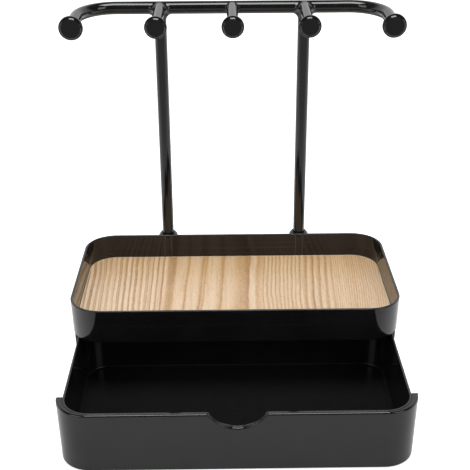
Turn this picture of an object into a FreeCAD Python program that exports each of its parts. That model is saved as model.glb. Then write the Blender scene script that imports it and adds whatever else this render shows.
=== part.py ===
"""Jewelry stand with a sunken tray, a drawer and a five-peg hanger, as a parametric document.

Millimetres, +Z up, +X to the right, the drawer opens towards -Y.
The origin is the centre of the underside of the base plate.
"""
import FreeCAD, Part
import math
import os
import re
import Sketcher
from FreeCAD import Placement, Rotation, Vector

SIZES = {
    # casing with the tray
    "overall_width": 250.0,
    "overall_depth": 134.0,
    "corner_radius": 24.5,
    "draft": 1.6,
    "rim_height": 73.5,
    "casing_wall": 2.0,
    "rim_rounding": 0.7,
    "tray_depth": 20.0,
    "tray_floor_thickness": 2.0,
    "panel_thickness": 2.5,
    "panel_gap": 0.3,
    "adhesive_thickness": 0.3,
    "adhesive_margin": 4.0,
    # drawer
    "drawer_head_gap": 3.0,
    "drawer_gap": 1.0,
    "drawer_shown_open": 91.5,
    "drawer_travel": 100.0,
    "stop_gap": 0.3,
    "front_thickness": 2.0,
    "ear_depth": 22.8,
    "ear_gap": 0.5,
    "ear_step": 4.8,
    "front_edge_rounding": 0.5,
    "tub_corner_radius": 20.0,
    "tub_wall": 1.8,
    "tub_floor_thickness": 1.8,
    "tub_floor_rounding": 1.5,
    "tub_back_gap": 3.2,
    "gate_mark_radius": 2.2,
    "gate_mark_height": 0.3,
    "notch_radius": 21.5,
    "notch_depth": 11.4,
    "notch_shoulder": 4.0,
    "guide_gap": 0.4,
    "guide_width": 3.0,
    "guide_margin": 3.0,
    "side_guide_drop": 6.0,
    "bumper_radius": 4.0,
    "bumper_reach": 2.5,
    "bumper_spacing": 140.0,
    "bumper_stem_radius": 2.0,
    # base
    "base_thickness": 1.8,
    "base_gap": 0.15,
    "plate_front_gap": 0.55,
    "glide_height": 0.4,
    "glide_width": 4.0,
    "glide_spacing": 160.0,
    "glide_gap": 0.2,
    "tongue_length": 30.0,
    "tongue_depth": 1.0,
    "tongue_thickness": 1.0,
    "lug_height": 6.0,
    "foot_radius": 5.0,
    "foot_height": 1.2,
    "foot_recess": 0.6,
    "foot_inset_x": 25.0,
    "foot_inset_y": 16.0,
    "fit_gap": 0.05,
    # sockets and screws
    "post_spacing": 113.2,
    "post_setback": 5.45,
    "boss_radius": 8.0,
    "boss_land": 0.6,
    "boss_cone_height": 2.0,
    "socket_gap": 0.1,
    "socket_mouth": 1.0,
    "socket_floor_thickness": 7.35,
    "screw_radius": 1.6,
    "screw_length": 30.0,
    "screw_hole_gap": 0.2,
    "screw_head_radius": 3.4,
    "screw_head_height": 2.0,
    "screw_drive_radius": 1.5,
    "screw_drive_depth": 1.2,
    "washer_radius": 4.0,
    "washer_thickness": 0.6,
    "head_recess": 0.4,
    "counterbore_gap": 0.3,
    # hanger
    "bar_rise": 193.35,
    "bar_radius": 4.95,
    "bar_straight_half": 90.5,
    "bend_radius": 28.0,
    "post_foot_radius": 4.7,
    "post_head_radius": 4.84,
    "joint_fillet": 5.0,
    "centre_fillet": 1.5,
    "peg_slope": 3.0,
    "peg_reach": 56.8,
    "peg_root_radius": 4.65,
    "peg_tip_radius": 3.95,
    "end_peg_tip_radius": 4.4,
    "spigot_radius": 2.5,
    "spigot_length": 2.0,
    "cap_radius": 8.4,
    "end_cap_radius": 9.0,
    "cap_thickness": 3.6,
    "cap_front_rounding": 1.4,
    "cap_back_rounding": 0.8,
    "cap_rim_width": 1.9,
    "cap_face_recess": 0.35,
}

doc = FreeCAD.newDocument("jewelry_stand")
sheet = doc.addObject("Spreadsheet::Sheet", "sizes")
for row, (alias, number) in enumerate(SIZES.items(), start=1):
    sheet.set(f"A{row}", alias)
    sheet.set(f"B{row}", str(number))
    sheet.setAlias(f"B{row}", alias)
doc.recompute()

ALIASES = re.compile(r"\b(" + "|".join(SIZES) + r")\b")
sub_parts = []


# ---- formulas over the sheet --------------------------------------------------------------

def formula(text):
    """The expression with each size's name turned into a reference to its cell."""
    return ALIASES.sub(r"sizes.\1", str(text))


def value(text):
    """The expression's present value, in millimetres or degrees."""
    return float(sheet.evalExpression(str(text)))


def bind(thing, **texts):
    """Bind properties to expressions; a double underscore in a name stands for a dot."""
    for path, text in texts.items():
        thing.setExpression(path.replace("__", "."), formula(text))


def draft_inset(height):
    """How far the drafted outer walls stand in from the rim at a height."""
    return f"((rim_height - {height}) * tan(draft))"


def half_width(height):
    return f"(overall_width / 2 - {draft_inset(height)})"


def half_depth(height):
    return f"(overall_depth / 2 - {draft_inset(height)})"


def corner(height):
    return f"(corner_radius - {draft_inset(height)})"


TRAY_FLOOR = "(rim_height - tray_depth - panel_thickness - adhesive_thickness)"
BAY_TOP = f"({TRAY_FLOOR} - tray_floor_thickness)"
DRAWER_HEIGHT = f"({BAY_TOP} - drawer_head_gap)"
LIP_EDGE = f"({DRAWER_HEIGHT} + drawer_gap)"
TUB_BOTTOM = "(base_thickness + glide_height + glide_gap)"
TUB_HALF_WIDTH = f"({half_width(DRAWER_HEIGHT)} - ear_step)"
TUB_FRONT = f"({half_depth(DRAWER_HEIGHT)} - front_thickness)"
TUB_BACK = f"({half_depth(DRAWER_HEIGHT)} - casing_wall - tub_back_gap)"
TUB_DRAFT = f"(({DRAWER_HEIGHT} - {{}}) * tan(draft))"
SIDE_WALL_START = f"({half_depth(DRAWER_HEIGHT)} - ear_depth - ear_gap)"
POST_X = "(post_spacing / 2)"
POST_Y = "(overall_depth / 2 + post_setback)"
BOSS_BASE_Y = f"({POST_Y} - {draft_inset('lug_height')})"
SOCKET_RADIUS = "(post_foot_radius + socket_gap)"
SOCKET_FLOOR = "(lug_height + base_gap + socket_floor_thickness)"
SOCKET_DEPTH = f"(rim_height - {SOCKET_FLOOR})"
SCREW_HOLE_RADIUS = "(screw_radius + screw_hole_gap)"
SCREW_SEAT = "(head_recess + screw_head_height + washer_thickness)"
BAR_Z = "(rim_height + bar_rise)"
END_PEG_X = "(bar_straight_half + bend_radius)"
PEG_LENGTH = "(peg_reach - cap_thickness / 2)"
BUMPER_Y = f"({TUB_BACK} - tub_wall - drawer_travel - stop_gap - bumper_radius)"


# ---- sketches -------------------------------------------------------------------------------

def new_body(label):
    body = doc.addObject("PartDesign::Body", label)
    body.Label = label
    sub_parts.append(body)
    return body


def plane(body, role):
    return next(feature for feature in body.Origin.OriginFeatures if feature.Role == role)


def sketch_on(body, name, role="XY_Plane", offset="0"):
    """A sketch on one of the body's origin planes, moved along the plane's normal."""
    sketch = body.newObject("Sketcher::SketchObject", name)
    sketch.AttachmentSupport = (plane(body, role), "")
    sketch.MapMode = "FlatFace"
    bind(sketch, AttachmentOffset__Base__z=offset)
    return sketch


def dimension(sketch, kind, first, second, text):
    """A horizontal or vertical dimension from one point to another, bound to the sheet."""
    size = value(text)
    ends = (*first, *second) if size >= 0 else (*second, *first)
    signed = text if size >= 0 else f"-({text})"
    index = sketch.addConstraint(Sketcher.Constraint(kind, *ends, abs(size)))
    bind(sketch, **{f"Constraints[{index}]": signed})


def pin(sketch, point, x, y):
    """Place a vertex by its two coordinates."""
    origin = (-1, 1)
    for kind, text in (("DistanceX", x), ("DistanceY", y)):
        dimension(sketch, kind, origin, point, text)


def radius(sketch, curve, text):
    index = sketch.addConstraint(Sketcher.Constraint("Radius", curve, value(text)))
    bind(sketch, **{f"Constraints[{index}]": text})


def polygon(sketch, corners):
    """A closed outline through corners given as pairs of expressions."""
    points = [Vector(value(x), value(y), 0) for x, y in corners]
    count = len(points)
    for index, point in enumerate(points):
        sketch.addGeometry(Part.LineSegment(point, points[(index + 1) % count]))
    for index, (x, y) in enumerate(corners):
        sketch.addConstraint(Sketcher.Constraint("Coincident", index, 2, (index + 1) % count, 1))
        pin(sketch, (index, 1), x, y)


def rectangle(sketch, left, right, low, high):
    polygon(sketch, [(left, low), (right, low), (right, high), (left, high)])


def circle(sketch, x, y, size):
    index = sketch.addGeometry(Part.Circle(Vector(value(x), value(y), 0), Vector(0, 0, 1), value(size)))
    pin(sketch, (index, 3), x, y)
    radius(sketch, index, size)


def rounded_rectangle(sketch, half, front, back, size):
    """Centred on X, from -front to back along Y, with four equal corners."""
    a, f, b, r = (value(text) for text in (half, front, back, size))
    quarter = math.pi / 2
    arcs = [(a - r, r - f, 3), (a - r, b - r, 0), (r - a, b - r, 1), (r - a, r - f, 2)]
    lines = [((r - a, -f), (a - r, -f)), ((a, r - f), (a, b - r)),
             ((a - r, b), (r - a, b)), ((-a, b - r), (-a, r - f))]
    for (start, end), (x, y, turn) in zip(lines, arcs):
        sketch.addGeometry(Part.LineSegment(Vector(*start, 0), Vector(*end, 0)))
        round_corner = Part.Circle(Vector(x, y, 0), Vector(0, 0, 1), r)
        sketch.addGeometry(Part.ArcOfCircle(round_corner, turn * quarter, (turn + 1) * quarter))
    for index in range(8):
        sketch.addConstraint(Sketcher.Constraint("Tangent", index, 2, (index + 1) % 8, 1))
    for horizontal, vertical in ((0, 2), (4, 6)):
        sketch.addConstraint(Sketcher.Constraint("Horizontal", horizontal))
        sketch.addConstraint(Sketcher.Constraint("Vertical", vertical))
    for arc in (3, 5, 7):
        sketch.addConstraint(Sketcher.Constraint("Equal", 1, arc))
    radius(sketch, 1, size)
    dimension(sketch, "DistanceX", (-1, 1), (2, 1), half)
    dimension(sketch, "DistanceX", (-1, 1), (6, 1), f"-({half})")
    dimension(sketch, "DistanceY", (-1, 1), (0, 1), f"-({front})")
    dimension(sketch, "DistanceY", (-1, 1), (4, 1), back)


# ---- features -------------------------------------------------------------------------------

def settle(body, feature):
    body.Tip = feature
    doc.recompute()
    return feature


def pad(body, name, sketch, length, down=False, tapered=False):
    feature = body.newObject("PartDesign::Pad", name)
    feature.Profile = sketch
    feature.Reversed = down
    bind(feature, Length=length)
    if tapered:
        bind(feature, TaperAngle="-draft")
    return settle(body, feature)


def pocket(body, name, sketch, length, up=False, taper="0"):
    """Cut into the solid, downwards unless told otherwise, and make sure that it did."""
    before = body.Shape.Volume
    feature = body.newObject("PartDesign::Pocket", name)
    feature.Profile = sketch
    feature.Reversed = up
    bind(feature, Length=length, TaperAngle=taper)
    settle(body, feature)
    if body.Shape.Volume >= before:
        raise RuntimeError(f"{body.Label}: {name} cuts nothing")
    return feature


def primitive(body, kind, name, at, turn="0", **texts):
    """A PartDesign primitive at a point, turned about X by an angle in degrees."""
    before = body.Shape.Volume if kind.startswith("Subtractive") else None
    feature = body.newObject(f"PartDesign::{kind}", name)
    feature.AttachmentSupport = (plane(body, "XY_Plane"), "")
    feature.MapMode = "FlatFace"
    feature.AttachmentOffset = Placement(Vector(), Rotation(Vector(1, 0, 0), 1))
    x, y, z = at
    bind(feature, AttachmentOffset__Base__x=x, AttachmentOffset__Base__y=y,
         AttachmentOffset__Base__z=z, AttachmentOffset__Rotation__Angle=turn, **texts)
    settle(body, feature)
    if before is not None and body.Shape.Volume >= before:
        raise RuntimeError(f"{body.Label}: {name} cuts nothing")
    return feature


def mirrored(body, name, originals):
    feature = body.newObject("PartDesign::Mirrored", name)
    feature.Originals = originals
    feature.MirrorPlane = (plane(body, "YZ_Plane"), [""])
    return settle(body, feature)


def revolution(body, name, corners, x="0", y="0"):
    """Turn a radius-height outline about a vertical line through (x, y)."""
    sketch = sketch_on(body, f"{name}_profile", "XZ_Plane", f"-({y})")
    polygon(sketch, [(f"{x} + {r}", z) for r, z in corners])
    axis = sketch.addGeometry(Part.LineSegment(Vector(value(x), 0, 0), Vector(value(x), 1, 0)), True)
    pin(sketch, (axis, 1), x, "0")
    pin(sketch, (axis, 2), x, "1")
    feature = body.newObject("PartDesign::Revolution", name)
    feature.Profile = sketch
    feature.ReferenceAxis = (sketch, ["Axis0"])
    feature.Angle = 360
    return settle(body, feature)


def fillet(body, name, size, wanted):
    """Round the edges of the present solid that the test picks."""
    base = body.Tip
    names = [f"Edge{index}" for index, edge in enumerate(base.Shape.Edges, start=1) if wanted(edge)]
    if not names:
        raise RuntimeError(f"{body.Label}: {name} finds no edge")
    feature = body.newObject("PartDesign::Fillet", name)
    feature.Base = (base, names)
    bind(feature, Radius=size)
    return settle(body, feature)


def level_edge(height):
    """A test for edges that lie flat at a height."""
    level = value(height)
    return lambda edge: abs(edge.BoundBox.ZMin - level) < 0.01 and abs(edge.BoundBox.ZMax - level) < 0.01


# ---- casing ---------------------------------------------------------------------------------

def add_socket(body, side_x):
    """A leaning boss behind the rear wall, with a conical top, for the foot of one post."""
    cone_start = "(rim_height - boss_cone_height)"
    foot = sketch_on(body, "boss_foot", offset="lug_height + base_gap")
    circle(foot, side_x, BOSS_BASE_Y, "boss_radius")
    head = sketch_on(body, "boss_head", offset=cone_start)
    circle(head, side_x, POST_Y, "boss_radius")
    shaft = body.newObject("PartDesign::AdditiveLoft", "boss_shaft")
    shaft.Profile = foot
    shaft.Sections = [head]
    settle(body, shaft)
    mouth_radius = f"({SOCKET_RADIUS} + socket_mouth)"
    cone = primitive(body, "AdditiveCone", "boss_cone", (side_x, POST_Y, cone_start),
                     Radius1="boss_radius", Radius2=f"{mouth_radius} + boss_land",
                     Height="boss_cone_height")
    bore = primitive(body, "SubtractiveCylinder", "socket_bore", (side_x, POST_Y, SOCKET_FLOOR),
                     Radius=SOCKET_RADIUS, Height=f"{SOCKET_DEPTH} + 1")
    mouth = primitive(body, "SubtractiveCone", "socket_lead_in",
                      (side_x, POST_Y, "rim_height - socket_mouth"),
                      Radius1=SOCKET_RADIUS, Radius2=mouth_radius, Height="socket_mouth")
    screw_hole = primitive(body, "SubtractiveCylinder", "screw_hole", (side_x, POST_Y, "0"),
                           Radius=SCREW_HOLE_RADIUS, Height=f"{SOCKET_FLOOR} + 1")
    return [shaft, cone, bore, mouth, screw_hole]


def make_casing():
    body = new_body("casing")
    outline = sketch_on(body, "rim_outline", offset="rim_height")
    rounded_rectangle(outline, "overall_width / 2", "overall_depth / 2", "overall_depth / 2",
                      "corner_radius")
    pad(body, "outer_block", outline, "rim_height", down=True, tapered=True)

    well = sketch_on(body, "tray_outline", offset="rim_height")
    rounded_rectangle(well, "overall_width / 2 - casing_wall", "overall_depth / 2 - casing_wall",
                      "overall_depth / 2 - casing_wall", "corner_radius - casing_wall")
    pocket(body, "tray_well", well, f"rim_height - {TRAY_FLOOR}", taper="-draft")
    fillet(body, "rim_rounding", "rim_rounding", level_edge("rim_height"))

    bay = sketch_on(body, "bay_outline")
    rounded_rectangle(bay, f"{half_width('0')} - casing_wall", f"{half_depth('0')} - casing_wall",
                      f"{half_depth('0')} - casing_wall", f"{corner('0')} - casing_wall")
    pocket(body, "drawer_bay", bay, BAY_TOP, up=True, taper="draft")

    mouth = sketch_on(body, "mouth_outline")
    rectangle(mouth, "-overall_width", "overall_width", "-overall_depth", f"-{SIDE_WALL_START}")
    pocket(body, "drawer_mouth", mouth, LIP_EDGE, up=True)

    notch = sketch_on(body, "lug_notch_outline")
    rectangle(notch, f"{POST_X} - boss_radius - base_gap", f"{POST_X} + boss_radius + base_gap",
              "overall_depth / 4", "overall_depth")
    lug_notch = pocket(body, "lug_notch", notch, "lug_height + base_gap", up=True)
    socket = add_socket(body, POST_X)
    mirrored(body, "second_socket", [lug_notch, *socket])

    add_guides(body)
    add_bumper_holes(body)
    return body


def add_guides(body):
    """Ribs that keep the drawer level and centred."""
    start = f"-({SIDE_WALL_START} - guide_margin)"
    end = f"{TUB_BACK} - tub_corner_radius"
    hold_down = sketch_on(body, "hold_down_outline", offset=BAY_TOP)
    rectangle(hold_down, f"{TUB_HALF_WIDTH} - guide_width", TUB_HALF_WIDTH, start, end)
    rib = pad(body, "hold_down_rib", hold_down, f"{BAY_TOP} - {DRAWER_HEIGHT} - guide_gap", down=True)
    side = sketch_on(body, "side_guide_outline", offset=f"{DRAWER_HEIGHT} - side_guide_drop")
    rectangle(side, f"{TUB_HALF_WIDTH} + guide_gap", f"{half_width(DRAWER_HEIGHT)} - casing_wall / 2",
              start, end)
    guide = pad(body, "side_guide_rib", side, "guide_width", down=True)
    mirrored(body, "second_guides", [rib, guide])


def add_bumper_holes(body):
    hole = primitive(body, "SubtractiveCylinder", "bumper_hole", ("bumper_spacing / 2", BUMPER_Y, BAY_TOP),
                     Radius="bumper_stem_radius + fit_gap", Height="tray_floor_thickness")
    slot = primitive(body, "SubtractiveBox", "tongue_slot",
                     (f"{half_width('0')} - casing_wall - 1", "-tongue_length / 2 - base_gap",
                      "(base_thickness - tongue_thickness) / 2 - base_gap"),
                     Length="1 + tongue_depth + base_gap", Width="tongue_length + 2 * base_gap",
                     Height="tongue_thickness + 2 * base_gap")
    mirrored(body, "second_hole_and_slot", [hole, slot])


# ---- tray panel -----------------------------------------------------------------------------

def tray_sheet(label, low, thickness, margin):
    """A flat sheet a margin smaller than the tray's inside, with room for the two sockets."""
    body = new_body(label)
    outline = sketch_on(body, "outline", offset=low)
    inset = f"(casing_wall + {margin})"
    rounded_rectangle(outline, f"{half_width(low)} - {inset}", f"{half_depth(low)} - {inset}",
                      f"{half_depth(low)} - {inset}", f"{corner(low)} - {inset}")
    pad(body, "sheet", outline, thickness)
    lean = f"({POST_Y} - {draft_inset(low)})"
    relief = primitive(body, "SubtractiveCylinder", "socket_relief", (POST_X, lean, low),
                       Radius=f"boss_radius + {margin}", Height=thickness)
    mirrored(body, "second_relief", [relief])
    return body


# ---- base -----------------------------------------------------------------------------------

def foot_places():
    """The four feet: a name, and the expressions of their X and Y."""
    for side, sign in (("left", "-"), ("right", "")):
        foot_x = f"{sign}({half_width('0')} - foot_inset_x)"
        yield f"front_{side}", foot_x, f"-({half_depth('0')} - foot_inset_y)"
        yield f"rear_{side}", foot_x, f"{half_depth('0')} - foot_inset_y"


def make_base_plate():
    body = new_body("base_plate")
    tub_draft = TUB_DRAFT.format("0")
    rear = f"({half_depth('0')} - casing_wall - base_gap)"
    core_half = f"{TUB_HALF_WIDTH} - {tub_draft} - plate_front_gap"
    core = sketch_on(body, "core_outline")
    rounded_rectangle(core, core_half, f"{TUB_FRONT} - {tub_draft} - plate_front_gap", rear,
                      f"tub_corner_radius - {tub_draft} - plate_front_gap")
    pad(body, "core", core, "base_thickness")

    wing_edge = f"{half_width('0')} - casing_wall - base_gap"
    wings = sketch_on(body, "wing_outline")
    rectangle(wings, f"-({wing_edge})", wing_edge, f"-({SIDE_WALL_START} - base_gap)", "0")
    pad(body, "wings", wings, "base_thickness")
    back = sketch_on(body, "back_outline")
    rounded_rectangle(back, wing_edge, "corner_radius", rear,
                      f"{corner('0')} - casing_wall - base_gap")
    pad(body, "back", back, "base_thickness")

    rail = sketch_on(body, "glide_outline", offset="base_thickness")
    rectangle(rail, "glide_spacing / 2 - glide_width / 2", "glide_spacing / 2 + glide_width / 2",
              f"-({SIDE_WALL_START})", f"{TUB_BACK} - tub_wall")
    glide = pad(body, "glide_rail", rail, "glide_height")

    tongue = primitive(body, "AdditiveBox", "tongue",
                       (f"{wing_edge} - 1", "-tongue_length / 2",
                        "(base_thickness - tongue_thickness) / 2"),
                       Length="1 + tongue_depth", Width="tongue_length", Height="tongue_thickness")

    lug_start = f"{TUB_BACK} - {TUB_DRAFT.format('lug_height')} + guide_gap"
    neck = sketch_on(body, "lug_neck_outline")
    rectangle(neck, f"{POST_X} - boss_radius", f"{POST_X} + boss_radius", lug_start, BOSS_BASE_Y)
    lug_neck = pad(body, "lug_neck", neck, "lug_height")
    ring = sketch_on(body, "lug_outline")
    circle(ring, POST_X, BOSS_BASE_Y, "boss_radius")
    lug = pad(body, "lug", ring, "lug_height")
    hole = primitive(body, "SubtractiveCylinder", "screw_hole", (POST_X, POST_Y, "0"),
                     Radius=SCREW_HOLE_RADIUS, Height="lug_height")
    seat = primitive(body, "SubtractiveCylinder", "screw_counterbore", (POST_X, POST_Y, "0"),
                     Radius="washer_radius + counterbore_gap", Height=SCREW_SEAT)
    mirrored(body, "second_side", [glide, tongue, lug_neck, lug, hole, seat])
    for name, x, y in foot_places():
        primitive(body, "SubtractiveCylinder", f"{name}_recess", (x, y, "0"),
                  Radius="foot_radius + fit_gap", Height="foot_recess")
    return body


def make_foot(name, x, y):
    body = new_body(f"foot_{name}")
    bottom = "-foot_height"
    revolution(body, "disc", [("0", bottom), ("foot_radius - foot_recess", bottom),
                              ("foot_radius", "foot_recess - foot_height"),
                              ("foot_radius", "foot_recess"), ("0", "foot_recess")])
    bind(body, Placement__Base__x=x, Placement__Base__y=y)
    return body


def make_bumper(side, sign):
    """A rubber stop whose stem plugs into the tray's floor; it catches the drawer's rear wall."""
    body = new_body(f"stop_bumper_{side}")
    low = f"({DRAWER_HEIGHT} - bumper_reach)"
    revolution(body, "plug", [("0", low), ("bumper_radius - bumper_stem_radius / 2", low),
                              ("bumper_radius", f"{low} + bumper_stem_radius / 2"),
                              ("bumper_radius", BAY_TOP), ("bumper_stem_radius", BAY_TOP),
                              ("bumper_stem_radius", f"{TRAY_FLOOR}"), ("0", f"{TRAY_FLOOR}")])
    bind(body, Placement__Base__x=f"{sign}bumper_spacing / 2", Placement__Base__y=BUMPER_Y)
    return body


def make_post_screws():
    body = new_body("post_screws")
    body.AllowCompound = True
    seat = "head_recess + screw_head_height"
    tip = f"{SCREW_SEAT} + screw_length"
    head_edge = "screw_head_radius - screw_head_height / 4"
    shank = revolution(body, "screw", [
        ("0", "head_recess + screw_drive_depth"), ("screw_drive_radius", "head_recess + screw_drive_depth"),
        ("screw_drive_radius", "head_recess"), (head_edge, "head_recess"),
        ("screw_head_radius", "head_recess + screw_head_height / 2"), ("screw_head_radius", seat),
        ("screw_radius", seat), ("screw_radius", f"{tip} - 2 * screw_radius"), ("0", tip)],
        x=POST_X, y=POST_Y)
    mirrored(body, "second_screw", [shank])
    return body


def make_post_washers():
    body = new_body("post_washers")
    body.AllowCompound = True
    low = "head_recess + screw_head_height"
    ring = revolution(body, "washer", [
        ("screw_radius + fit_gap", low), ("washer_radius", low), ("washer_radius", SCREW_SEAT),
        ("screw_radius + fit_gap", SCREW_SEAT)], x=POST_X, y=POST_Y)
    mirrored(body, "second_washer", [ring])
    return body


# ---- drawer ---------------------------------------------------------------------------------

def place_drawer_piece(body):
    bind(body, Placement__Base__y="-drawer_shown_open")


def cut_notch(body):
    """The round finger notch in the middle of the front, with rounded shoulders."""
    sketch = sketch_on(body, "notch_outline", "XZ_Plane", f"{TUB_FRONT} - tub_wall - tub_floor_rounding")
    circle(sketch, "0", f"{DRAWER_HEIGHT} - notch_depth + notch_radius", "notch_radius")
    pocket(body, "finger_notch", sketch, "overall_depth", up=True)
    half = value("sqrt(notch_radius ^ 2 - (notch_radius - notch_depth) ^ 2)")
    top = value(DRAWER_HEIGHT)

    def is_shoulder(edge):
        middle = edge.BoundBox.Center
        across = edge.BoundBox.XLength < 0.1 and edge.BoundBox.YLength > 0.5
        return across and abs(abs(middle.x) - half) < 0.1 and abs(middle.z - top) < 0.1

    fillet(body, "notch_shoulders", "notch_shoulder", is_shoulder)


def tub_outline(sketch, inset="0"):
    rounded_rectangle(sketch, f"{TUB_HALF_WIDTH} - {inset}", f"{TUB_FRONT} - {inset}",
                      f"{TUB_BACK} - {inset}", f"tub_corner_radius - {inset}")


def make_drawer_tub():
    body = new_body("drawer_tub")
    outer = sketch_on(body, "outer_outline", offset=DRAWER_HEIGHT)
    tub_outline(outer)
    pad(body, "outer_block", outer, f"{DRAWER_HEIGHT} - {TUB_BOTTOM}", down=True, tapered=True)
    inner = sketch_on(body, "inner_outline", offset=DRAWER_HEIGHT)
    tub_outline(inner, "tub_wall")
    floor = f"({TUB_BOTTOM} + tub_floor_thickness)"
    pocket(body, "inside", inner, f"{DRAWER_HEIGHT} - {floor}", taper="-draft")
    fillet(body, "floor_rounding", "tub_floor_rounding", level_edge(floor))
    middle = f"(({TUB_BACK} - {TUB_FRONT} - front_thickness) / 2)"
    primitive(body, "AdditiveCylinder", "gate_mark", ("0", middle, floor),
              Radius="gate_mark_radius", Height="gate_mark_height")
    cut_notch(body)
    place_drawer_piece(body)
    return body


def make_drawer_front():
    """The front wraps round both corners and ends in ears that stand proud of the tub."""
    body = new_body("drawer_front")
    outer = sketch_on(body, "outer_outline", offset=DRAWER_HEIGHT)
    rounded_rectangle(outer, half_width(DRAWER_HEIGHT), half_depth(DRAWER_HEIGHT),
                      half_depth(DRAWER_HEIGHT), corner(DRAWER_HEIGHT))
    pad(body, "outer_block", outer, DRAWER_HEIGHT, down=True, tapered=True)
    behind = sketch_on(body, "behind_the_ears", offset=DRAWER_HEIGHT)
    rectangle(behind, "-overall_width", "overall_width", f"ear_depth - {half_depth(DRAWER_HEIGHT)}",
              "overall_depth")
    pocket(body, "ear_ends", behind, DRAWER_HEIGHT)
    inner = sketch_on(body, "inner_outline", offset=DRAWER_HEIGHT)
    tub_outline(inner)
    pocket(body, "tub_seat", inner, DRAWER_HEIGHT, taper="-draft")
    cut_notch(body)
    fillet(body, "edge_rounding", "front_edge_rounding", is_front_rim)
    place_drawer_piece(body)
    return body


def is_front_rim(edge):
    """The outer loop of the front's top edge."""
    box = edge.BoundBox
    outside = box.YMin < value(f"-{TUB_FRONT}") - 0.5 or box.XMax > value(TUB_HALF_WIDTH) + 1 \
        or box.XMin < -value(TUB_HALF_WIDTH) - 1
    straight_ear_end = box.YLength < 0.01 and box.YMin > value(f"-{TUB_FRONT}")
    return level_edge(DRAWER_HEIGHT)(edge) and outside and not straight_ear_end


# ---- hanger ---------------------------------------------------------------------------------

def bent_bar(body):
    """The bar, whose two ends bend forwards to become the outermost pegs."""
    profile = sketch_on(body, "bar_profile", "YZ_Plane", "-bar_straight_half")
    circle(profile, POST_Y, BAR_Z, "bar_radius")
    pad(body, "bar", profile, "2 * bar_straight_half")
    for side, sign in (("left", "-"), ("right", "")):
        turn = sketch_on(body, f"{side}_bend_profile", "YZ_Plane", f"{sign}bar_straight_half")
        circle(turn, POST_Y, BAR_Z, "bar_radius")
        points = [(peg_point("0", f"(bend_radius + {along} * tan(peg_slope))")[1],
                   f"{BAR_Z} - bend_radius * sin(peg_slope) + {along} * cos(peg_slope)")
                  for along in (0, 10)]
        axis = turn.addGeometry(Part.LineSegment(*(Vector(value(y), value(z), 0) for y, z in points)), True)
        for end, (y, z) in enumerate(points, start=1):
            pin(turn, (axis, end), y, z)
        bend = body.newObject("PartDesign::Revolution", f"{side}_bend")
        bend.Profile = turn
        bend.ReferenceAxis = (turn, ["Axis0"])
        bend.Angle = 90
        bend.Reversed = side == "right"
        settle(body, bend)


def peg_point(x, distance):
    """A point on a peg's axis, at a distance from the bar's axis."""
    return (x, f"{POST_Y} - {distance} * cos(peg_slope)", f"{BAR_Z} - {distance} * sin(peg_slope)")


def peg(body, name, x, start, root, tip):
    """A tapered peg, from a distance before the bar's axis to the back of its cap."""
    primitive(body, "AdditiveCone", f"{name}_peg", peg_point(x, start), turn="90 + peg_slope",
              Radius1=root, Radius2=tip, Height=f"{PEG_LENGTH} - {start}")


def spigot(body, name, x):
    """The pin at a peg's tip that holds its cap."""
    primitive(body, "AdditiveCylinder", f"{name}_spigot", peg_point(x, PEG_LENGTH),
              turn="90 + peg_slope", Radius="spigot_radius", Height="spigot_length")


def make_hanger_frame():
    body = new_body("hanger_frame")
    sides = (("left", "-"), ("right", ""))
    bent_bar(body)
    for side, sign in sides:
        primitive(body, "AdditiveCone", f"{side}_post", (f"{sign}{POST_X}", POST_Y, "rim_height"),
                  Radius1="post_foot_radius", Radius2="post_head_radius", Height="bar_rise")
        peg(body, side, f"{sign}{POST_X}", "0", "peg_root_radius", "peg_tip_radius")
    peg(body, "centre", "0", "0", "peg_root_radius", "peg_tip_radius")
    fillet(body, "joint_fillets", "joint_fillet", joint_edge(POST_X))
    fillet(body, "centre_fillet", "centre_fillet", joint_edge("0"))
    for side, sign in sides:
        peg(body, f"outer_{side}", f"{sign}{END_PEG_X}", "bend_radius", "bar_radius",
            "end_peg_tip_radius")
        spigot(body, f"outer_{side}", f"{sign}{END_PEG_X}")
        spigot(body, side, f"{sign}{POST_X}")
        foot = (f"{sign}{POST_X}", POST_Y, SOCKET_FLOOR)
        primitive(body, "AdditiveCylinder", f"{side}_post_foot", foot,
                  Radius="post_foot_radius", Height=SOCKET_DEPTH)
        primitive(body, "SubtractiveCylinder", f"{side}_pilot_hole", foot, Radius="screw_radius + fit_gap",
                  Height=f"{SCREW_SEAT} + screw_length - {SOCKET_FLOOR} + screw_radius")
    spigot(body, "centre", "0")
    return body


def joint_edge(x):
    """A test for the curves where posts and pegs meet the bar, at X on either side."""
    reach = value("2 * bar_radius")
    wanted_x, bar_y, bar_z = value(x), value(POST_Y), value(BAR_Z)

    def is_joint(edge):
        box = edge.BoundBox
        beside = abs(abs(box.Center.x) - wanted_x) < reach / 2 and box.XLength > 2
        return beside and box.YMin > bar_y - reach and box.ZMin > bar_z - reach and box.ZLength > 1

    return is_joint


def make_cap(name, x, size):
    """A round end cap with a raised rim, pressed on the spigot of a peg."""
    body = new_body(f"cap_{name}")
    face = "cap_thickness - cap_face_recess"
    rim = f"{size} - cap_rim_width"
    bore = "spigot_radius + fit_gap"
    revolution(body, "disc", [("0", "spigot_length"), (bore, "spigot_length"), (bore, "0"), (size, "0"),
                              (size, "cap_thickness"), (rim, "cap_thickness"), (rim, face), ("0", face)])
    outer = value(size)

    def rim_edge(height):
        level = level_edge(height)
        return lambda edge: level(edge) and edge.BoundBox.XLength > 2 * outer - 0.1

    fillet(body, "front_rounding", "cap_front_rounding", rim_edge("cap_thickness"))
    fillet(body, "back_rounding", "cap_back_rounding", rim_edge("0"))
    body.Placement = Placement(Vector(), Rotation(Vector(1, 0, 0), 1))
    px, py, pz = peg_point(x, PEG_LENGTH)
    bind(body, Placement__Base__x=px, Placement__Base__y=py, Placement__Base__z=pz,
         Placement__Rotation__Angle="90 + peg_slope")
    return body


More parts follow.
